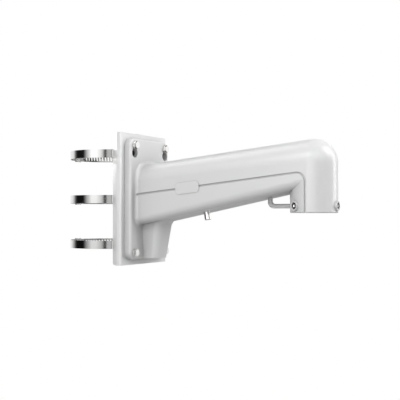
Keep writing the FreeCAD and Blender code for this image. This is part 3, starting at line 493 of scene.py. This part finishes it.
def build_thread(name, middle, to_world, radius, length, form, side, material):
    """A ridge that climbs a cylinder's wall and stops half a pitch from each end.

    Side is -1 into a bore and 1 out of a rod.
    """
    turns = length / form["pitch"] - 1
    steps = round(turns * THREAD_STEPS)
    profile = (
        (-ROOT_SHARE / 2, -form["sunk"]),
        (-CREST_SHARE / 2, form["stand"]),
        (CREST_SHARE / 2, form["stand"]),
        (ROOT_SHARE / 2, -form["sunk"]),
    )
    vertices, faces = [], []
    for step in range(steps + 1):
        angle = math.tau * step / THREAD_STEPS
        run_in = min(1.0, min(step, steps - step) / RUN_IN_STEPS)
        for along, stand in profile:
            reach = radius + side * (stand if stand < 0 else stand * run_in)
            climb = form["pitch"] * (step / THREAD_STEPS + along) - turns * form["pitch"] / 2
            local = Vector((reach * math.cos(angle), reach * math.sin(angle), climb))
            vertices.append(middle + to_world @ local)
    size = len(profile)
    for step in range(steps):
        for k in range(size - 1):
            quad = [step * size + k, (step + 1) * size + k]
            quad += [quad[1] + 1, quad[0] + 1]
            faces.append(quad if side > 0 else quad[::-1])
    thread = new_object(name, vertices, faces, material)
    thread.data.shade_smooth()
    thread.data.set_sharp_from_angle(angle=EDGE_ANGLE)
    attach(thread, "root")
    return thread


def build_collar_thread():
    """The pipe thread that takes the camera, inside the collar's mouth."""
    middle = Vector((COLLAR_X, 0.0, COLLAR_MOUTH + COLLAR_THREAD_LENGTH / 2))
    thread = build_thread(
        "collar_thread", middle, Matrix.Identity(3), COLLAR_BORE_RADIUS,
        COLLAR_THREAD_LENGTH, COLLAR_THREAD, -1, PAINT)


def build_bolt_threads():
    """The ends of the base bolts, where they stand out of their nuts behind the plate."""
    for corner in CORNERS:
        bolt_low, bolt_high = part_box(f"base_bolt_{corner}")
        nut_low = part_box(f"base_nut_{corner}")[0]
        middle = (bolt_low + bolt_high) / 2
        middle.x = (bolt_low.x + nut_low.x) / 2
        thread = build_thread(
            f"bolt_thread_{corner}", middle, Matrix.Rotation(math.pi / 2, 3, "Y"),
            BOLT_RADIUS, nut_low.x - bolt_low.x, BOLT_THREAD, 1, FASTENER)


for level in LEVELS:
    build_band(level)
for turn in TURNS:
    build_setscrew(turn)
build_collar_thread()
build_bolt_threads()

# Camera, set where the photograph was taken from.  Its focal length is a share of the
# picture's width.
CAMERA_PLACE = Vector((0.7595, -1.043, -0.023))
CAMERA_YAW = math.radians(29.42)
CAMERA_PITCH = math.radians(1.01)
FOCAL_SHARE = 798.8 / 400
SENSOR = 36.0

camera_data = bpy.data.cameras.new("camera")
camera_data.sensor_width = SENSOR
camera_data.lens = FOCAL_SHARE * SENSOR
camera = bpy.data.objects.new("camera", camera_data)
camera.location = CAMERA_PLACE
camera.rotation_euler = (math.pi / 2 + CAMERA_PITCH, 0.0, CAMERA_YAW)
scene.collection.objects.link(camera)
scene.camera = camera


def area_light(name, place, target, width, height, watts):
    """A soft box at a place, turned to face a target."""
    data = bpy.data.lights.new(name, "AREA")
    data.shape = "RECTANGLE"
    data.size = width
    data.size_y = height
    data.energy = watts
    light = bpy.data.objects.new(name, data)
    light.location = place
    aim = Vector(target) - Vector(place)
    light.rotation_euler = aim.to_track_quat("-Z", "Y").to_euler()
    scene.collection.objects.link(light)
    return light


# Soft boxes: azimuth and elevation in degrees, distance, width and height in metres, watts.
# Each looks at the bracket's middle.  The world adds a soft fill.
MIDDLE = (0.17, 0.0, 0.0)
WORLD_FILL = 0.14
LAMPS = {
    "key": (-96.0, 38.0, 1.4, 0.4, 0.4, 5.0),
    "key_low": (-91.0, 7.0, 1.4, 0.3, 0.9, 2.8),
    "left": (-150.0, 30.0, 1.4, 0.6, 0.6, 1.4),
    "front": (-60.0, 35.0, 1.4, 0.6, 0.6, 1.8),
    "front_right": (-39.0, 28.0, 1.1, 0.6, 0.6, 1.9),
    "front_low": (-69.0, 5.0, 1.2, 0.6, 0.6, 2.1),
    "right": (22.0, 40.0, 1.35, 0.6, 0.6, 7.2),
    "right_low": (40.0, 8.0, 1.3, 0.3, 0.9, 4.6),
    "back": (148.0, 14.0, 1.7, 0.7, 0.5, 8.0),
    "top_left": (175.0, 62.0, 1.4, 0.6, 0.6, 2.2),
}
# What the lamps leave out, because it is polished and shows only what it mirrors.
POLISHED = (
    [bpy.data.objects[f"perforated_band_{level}"] for level in LEVELS]
    + [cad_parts[f"base_bolt_{corner}"] for corner in CORNERS])

# Floor: its level and half its side, its tone under the lamps, how white the camera sees it
# near the bracket, how much of that a gloss mirrors, and how far off it is all white.
FLOOR_LEVEL = -0.6
FLOOR_HALF = 8.0
FLOOR_TONE = 0.45
FLOOR_ROUGHNESS = 0.8
FLOOR_WHITE = 0.8
FLOOR_MIRRORED = 0.3
FADE_END = 1.3


def build_lamps():
    """Every soft box, turned to the bracket's middle and without light on polished steel."""
    left_out = bpy.data.collections.new("polished_steel")
    for piece in POLISHED:
        left_out.objects.link(piece)
    for member in left_out.collection_objects:
        member.light_linking.link_state = "EXCLUDE"
    for name, (azimuth, elevation, distance, width, height, watts) in LAMPS.items():
        across = distance * math.cos(math.radians(elevation))
        place = Vector(MIDDLE) + Vector((
            across * math.cos(math.radians(azimuth)),
            across * math.sin(math.radians(azimuth)),
            distance * math.sin(math.radians(elevation))))
        lamp = area_light(name, place, MIDDLE, width, height, watts)
        lamp.light_linking.receiver_collection = left_out


def seen_directly(tree, mirrored=1.0):
    """One for camera and transmission rays, a share for glossy rays, and zero for others."""
    path = tree.nodes.new("ShaderNodeLightPath")
    mirrors = tree.nodes.new("ShaderNodeMath")
    mirrors.operation = "MULTIPLY"
    mirrors.inputs[1].default_value = mirrored
    tree.links.new(path.outputs["Is Glossy Ray"], mirrors.inputs[0])
    seen = mirrors.outputs[0]
    for other in ("Is Camera Ray", "Is Transmission Ray"):
        both = tree.nodes.new("ShaderNodeMath")
        both.operation = "MAXIMUM"
        tree.links.new(seen, both.inputs[0])
        tree.links.new(path.outputs[other], both.inputs[1])
        seen = both.outputs[0]
    return seen


def build_world():
    """White where the camera sees it or a gloss mirrors it, and a soft fill on the object."""
    world = bpy.data.worlds.new("studio")
    scene.world = world
    world.use_nodes = True
    tree = world.node_tree
    tree.nodes.clear()
    light = tree.nodes.new("ShaderNodeBackground")
    light.inputs["Color"].default_value = (1.0, 1.0, 1.0, 1.0)
    light.inputs["Strength"].default_value = WORLD_FILL
    white = tree.nodes.new("ShaderNodeBackground")
    white.inputs["Color"].default_value = (1.0, 1.0, 1.0, 1.0)
    white.inputs["Strength"].default_value = 1.0
    choose = tree.nodes.new("ShaderNodeMixShader")
    ending = tree.nodes.new("ShaderNodeOutputWorld")
    tree.links.new(seen_directly(tree), choose.inputs["Fac"])
    tree.links.new(light.outputs["Background"], choose.inputs[1])
    tree.links.new(white.outputs["Background"], choose.inputs[2])
    tree.links.new(choose.outputs["Shader"], ending.inputs["Surface"])


def build_floor():
    """A plain pale floor far below, which fades to the white ground around it."""
    material, tree, shader = new_material("pale_floor")
    shader.inputs["Base Color"].default_value = (*grey(FLOOR_TONE), 1.0)
    shader.inputs["Roughness"].default_value = FLOOR_ROUGHNESS
    place = tree.nodes.new("ShaderNodeTexCoord")
    away = tree.nodes.new("ShaderNodeVectorMath")
    away.operation = "DISTANCE"
    away.inputs[1].default_value = MIDDLE
    tree.links.new(place.outputs["Object"], away.inputs[0])
    share = tree.nodes.new("ShaderNodeMapRange")
    share.inputs["From Min"].default_value = -FLOOR_LEVEL
    share.inputs["From Max"].default_value = FADE_END
    share.inputs["To Min"].default_value = FLOOR_WHITE
    share.inputs["To Max"].default_value = 1.0
    tree.links.new(away.outputs["Value"], share.inputs["Value"])
    shown = tree.nodes.new("ShaderNodeMath")
    shown.operation = "MULTIPLY"
    tree.links.new(seen_directly(tree, FLOOR_MIRRORED), shown.inputs[0])
    tree.links.new(share.outputs["Result"], shown.inputs[1])
    glow = tree.nodes.new("ShaderNodeEmission")
    glow.inputs["Strength"].default_value = 1.0
    mix = tree.nodes.new("ShaderNodeMixShader")
    tree.links.new(shown.outputs[0], mix.inputs["Fac"])
    tree.links.new(shader.outputs["BSDF"], mix.inputs[1])
    tree.links.new(glow.outputs["Emission"], mix.inputs[2])
    tree.links.new(mix.outputs["Shader"], tree.nodes["Material Output"].inputs["Surface"])
    corners = [
        (FLOOR_HALF * x, FLOOR_HALF * y, FLOOR_LEVEL)
        for x, y in ((-1, -1), (1, -1), (1, 1), (-1, 1))]
    floor = new_object("floor", corners, [(0, 1, 2, 3)], material)


# Brightness that polished steel mirrors, by direction from the pole in degrees.
WALL_RADIUS = 2.6
REFLECTED = (
    (-190.0, 1.00),
    (-184.0, 1.00),
    (-176.0, 0.60),
    (-170.0, 0.20),
    (-163.0, 0.04),
    (-158.0, 0.01),
    (-131.5, 0.01),
    (-126.0, 0.20),
    (-119.0, 0.60),
    (-111.0, 0.95),
    (-103.0, 1.42),
    (-87.0, 1.42),
    (-81.0, 1.00),
    (-78.2, 0.62),
    (-76.8, 0.05),
    (-74.4, 0.00),
    (-73.6, 0.55),
    (-71.0, 0.60),
    (-62.0, 0.56),
    (-53.0, 0.42),
    (-34.0, 0.42),
    (-28.0, 0.95),
)
# Towards the ground the wall keeps less of it, by height, up to this direction.
WALL_HEIGHTS = ((-0.6, 0.55), (-0.25, 0.55), (0.27, 1.0), (3.2, 1.0))
EVEN_FROM = -74.5
WALL_STEP = 0.5
# High up behind the bracket, what the slanting flats of the bolt heads mirror.
CARD_RADIUS = 2.0
DARK_CARD = ((115.0, 0.02), (172.0, 0.02))
DARK_CARD_HEIGHTS = ((1.1, 1.0), (3.2, 1.0))


def between(table, place):
    """The value at a place in a table of places and values, on straight lines between rows."""
    for (low, before), (high, after) in zip(table, table[1:]):
        if place <= high:
            return before + (after - before) * (place - low) / (high - low)
    return table[-1][1]


def build_reflected_wall(name, radius, table, heights):
    """A curved wall that only mirror-like rays see, shaded round the pole and in height."""
    material = bpy.data.materials.new(name)
    material.use_nodes = True
    tree = material.node_tree
    tree.nodes.clear()
    shade = tree.nodes.new("ShaderNodeAttribute")
    shade.attribute_name = "brightness"
    glow = tree.nodes.new("ShaderNodeEmission")
    ending = tree.nodes.new("ShaderNodeOutputMaterial")
    tree.links.new(shade.outputs["Fac"], glow.inputs["Strength"])
    tree.links.new(glow.outputs["Emission"], ending.inputs["Surface"])
    first, last = table[0][0], table[-1][0]
    rows = len(heights)
    steps = round((last - first) / WALL_STEP)
    vertices, brightness = [], []
    for step in range(steps + 1):
        direction = first + (last - first) * step / steps
        angle = math.radians(direction)
        for height, share in heights:
            vertices.append((radius * math.cos(angle), radius * math.sin(angle), height))
            kept = share if direction < EVEN_FROM else 1.0
            brightness.append(between(table, direction) * kept)
    faces = []
    for step in range(steps):
        for row in range(rows - 1):
            near, far = step * rows + row, (step + 1) * rows + row
            faces.append((near, far, far + 1, near + 1))
    wall = new_object(name, vertices, faces, material)
    shades = wall.data.attributes.new("brightness", "FLOAT", "POINT")
    shades.data.foreach_set("value", brightness)
    wall.visible_camera = False
    wall.visible_diffuse = False
    wall.visible_shadow = False
    wall.visible_transmission = False


build_lamps()
build_world()
build_floor()
build_reflected_wall("reflected_wall", WALL_RADIUS, REFLECTED, WALL_HEIGHTS)
build_reflected_wall("dark_card", CARD_RADIUS, DARK_CARD, DARK_CARD_HEIGHTS)

scene.view_settings.view_transform = "Standard"
